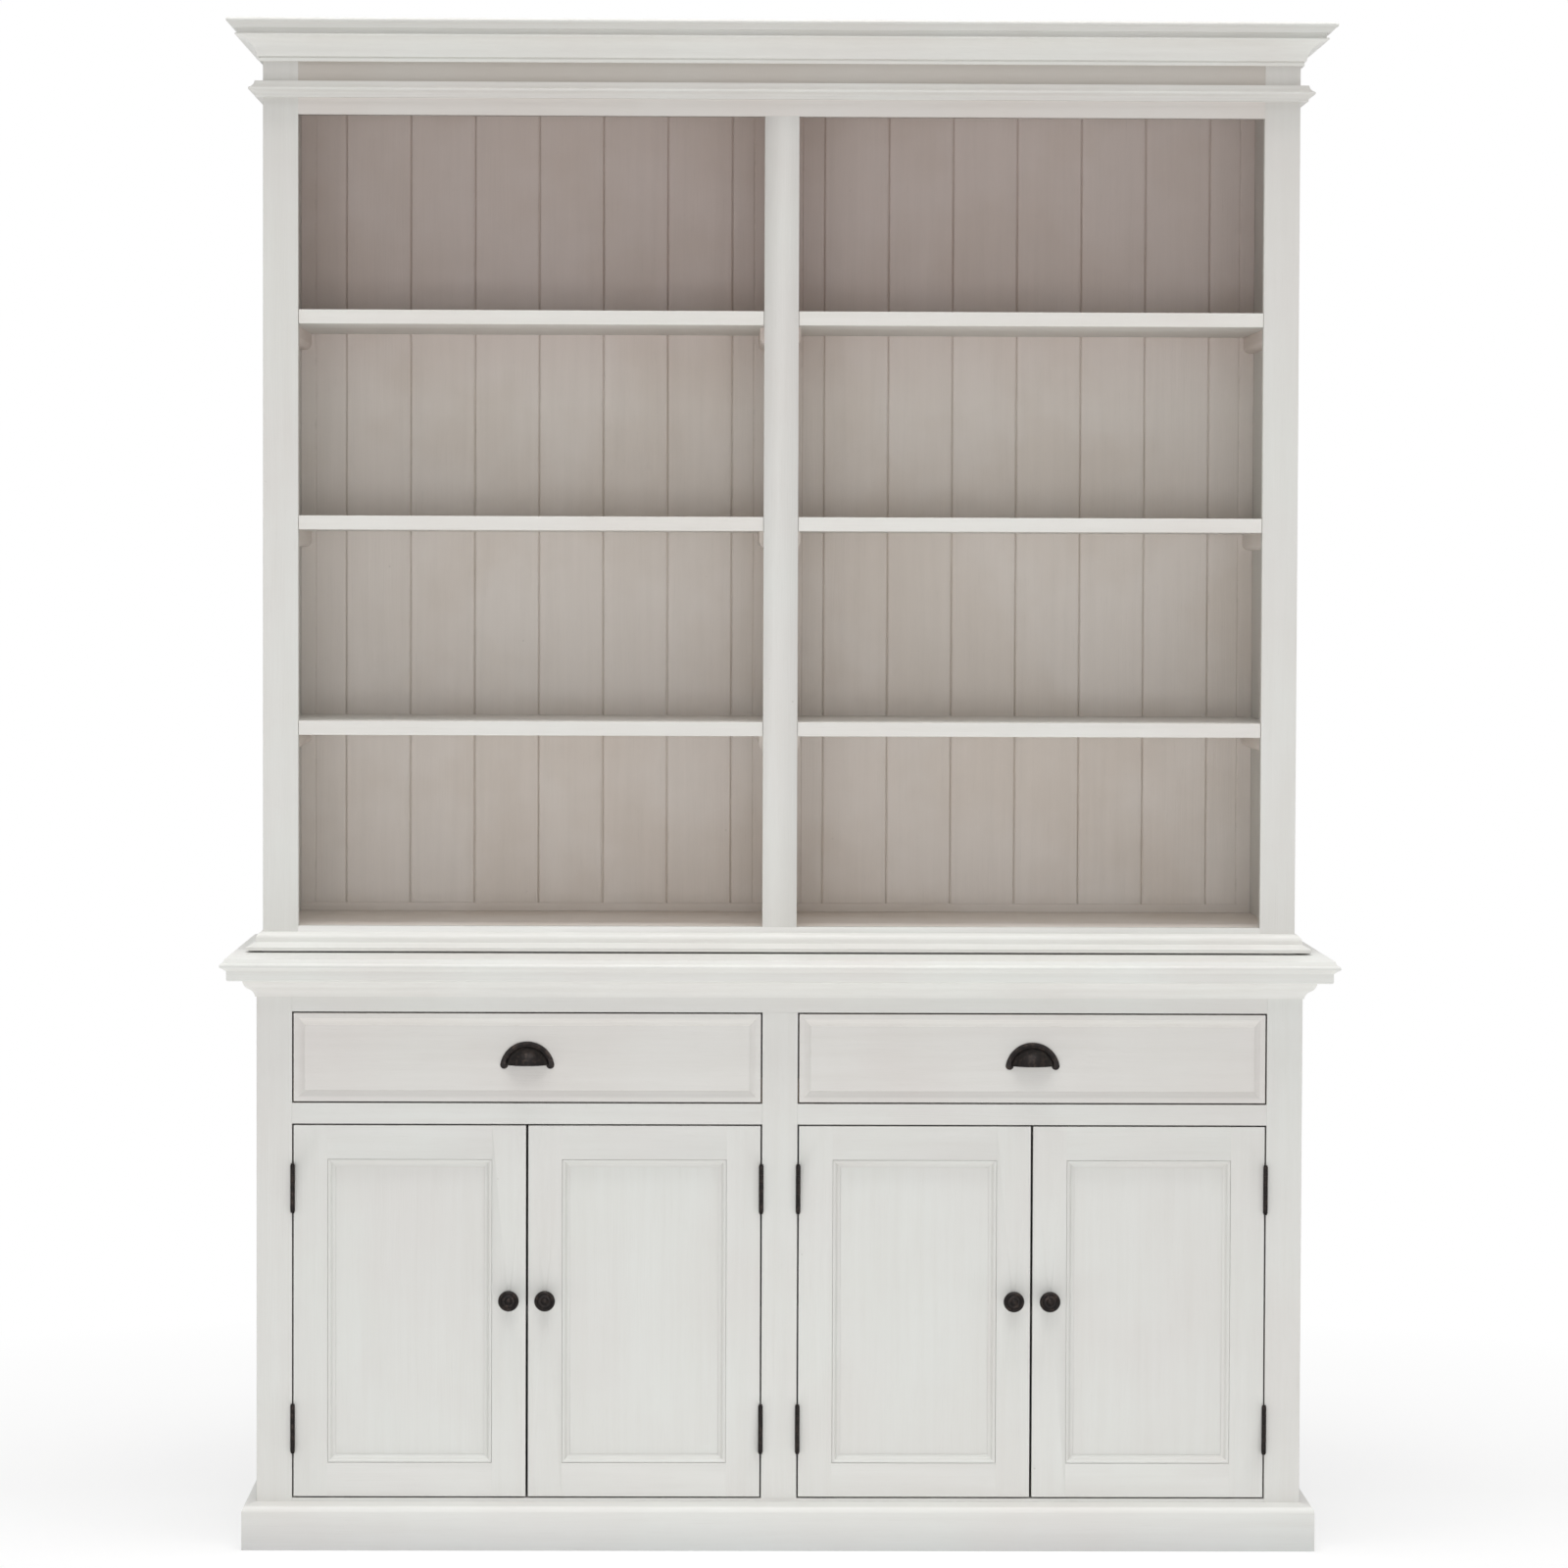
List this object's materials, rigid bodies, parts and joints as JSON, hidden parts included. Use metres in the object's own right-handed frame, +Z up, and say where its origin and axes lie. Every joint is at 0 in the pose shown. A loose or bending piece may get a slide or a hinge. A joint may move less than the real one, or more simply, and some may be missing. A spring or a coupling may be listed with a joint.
{
  "type": "storage cabinet with hutch",
  "caption": "White painted cabinet: open shelved hutch with cornice and boarded back above a counter, drawers with cup pulls and panelled doors with round knobs.",
  "frame": {"origin": "on the floor, midway across the width and depth of the cabinet", "axes": "+Z up, -Y out of the front, +X to the right seen from the front"},
  "size_m": [1.45, 0.5, 1.9925],
  "materials": {
    "painted_wood": "satin white paint, brushed",
    "bare_wood": "planed softwood, waxed",
    "dark_hardware": "dark oil-rubbed, low sheen"
  },
  "bodies": {
    "cabinet": {"astragal": "painted_wood", "base_back_panel": "painted_wood", "base_bottom_board": "painted_wood", "base_bottom_rail": "painted_wood", "base_middle_rails": "painted_wood", "base_partition": "painted_wood", "base_side_left": "painted_wood", "base_side_right": "painted_wood", "base_stiles": "painted_wood", "base_top_rail": "painted_wood", "cornice": "painted_wood", "counter_moulding": "painted_wood", "counter_top": "painted_wood", "cupboard_shelf_cleats": "painted_wood", "cupboard_shelves": "painted_wood", "door_catches": "painted_wood", "drawer_runners": "bare_wood", "hinge_frame_leaves": "dark_hardware", "hinge_pins": "dark_hardware", "hutch_back_battens": "painted_wood", "hutch_back_boards_left": "painted_wood", "hutch_back_boards_right": "painted_wood", "hutch_bottom_board": "painted_wood", "hutch_bottom_rail": "painted_wood", "hutch_foot_moulding": "painted_wood", "hutch_partition": "painted_wood", "hutch_shelf_cleats": "painted_wood", "hutch_shelves_left": "painted_wood", "hutch_shelves_right": "painted_wood", "hutch_side_left": "painted_wood", "hutch_side_right": "painted_wood", "hutch_stiles": "painted_wood", "hutch_top_board": "painted_wood", "hutch_top_rail": "painted_wood", "locating_dowels": "bare_wood", "plinth": "painted_wood"},
    "door_1": {"door_1_frame": "painted_wood", "door_1_hinge_leaves": "dark_hardware", "door_1_knob": "dark_hardware", "door_1_panel": "painted_wood"},
    "door_2": {"door_2_frame": "painted_wood", "door_2_hinge_leaves": "dark_hardware", "door_2_knob": "dark_hardware", "door_2_panel": "painted_wood"},
    "door_3": {"door_3_frame": "painted_wood", "door_3_hinge_leaves": "dark_hardware", "door_3_knob": "dark_hardware", "door_3_panel": "painted_wood"},
    "door_4": {"door_4_frame": "painted_wood", "door_4_hinge_leaves": "dark_hardware", "door_4_knob": "dark_hardware", "door_4_panel": "painted_wood"},
    "drawer_left": {"drawer_left_bottom": "bare_wood", "drawer_left_box": "bare_wood", "drawer_left_front": "painted_wood", "drawer_left_pull": "dark_hardware"},
    "drawer_right": {"drawer_right_bottom": "bare_wood", "drawer_right_box": "bare_wood", "drawer_right_front": "painted_wood", "drawer_right_pull": "dark_hardware"}
  },
  "joints": [
    {"name": "door_1_hinge", "type": "hinge", "parent": "cabinet", "child": "door_1", "pos_m": [-0.633, -0.2083, 0.3135], "axis": [0, 0, -1], "range_deg": [0, 110]},
    {"name": "door_2_hinge", "type": "hinge", "parent": "cabinet", "child": "door_2", "pos_m": [-0.024, -0.2083, 0.3135], "axis": [0, 0, 1], "range_deg": [0, 90]},
    {"name": "door_3_hinge", "type": "hinge", "parent": "cabinet", "child": "door_3", "pos_m": [0.024, -0.2083, 0.3135], "axis": [0, 0, -1], "range_deg": [0, 90]},
    {"name": "door_4_hinge", "type": "hinge", "parent": "cabinet", "child": "door_4", "pos_m": [0.633, -0.2083, 0.3135], "axis": [0, 0, 1], "range_deg": [0, 110]},
    {"name": "drawer_left_slide", "type": "slide", "parent": "cabinet", "child": "drawer_left", "axis": [0, -1, 0], "range_m": [0, 0.3]},
    {"name": "drawer_right_slide", "type": "slide", "parent": "cabinet", "child": "drawer_right", "axis": [0, -1, 0], "range_m": [0, 0.3]}
  ]
}
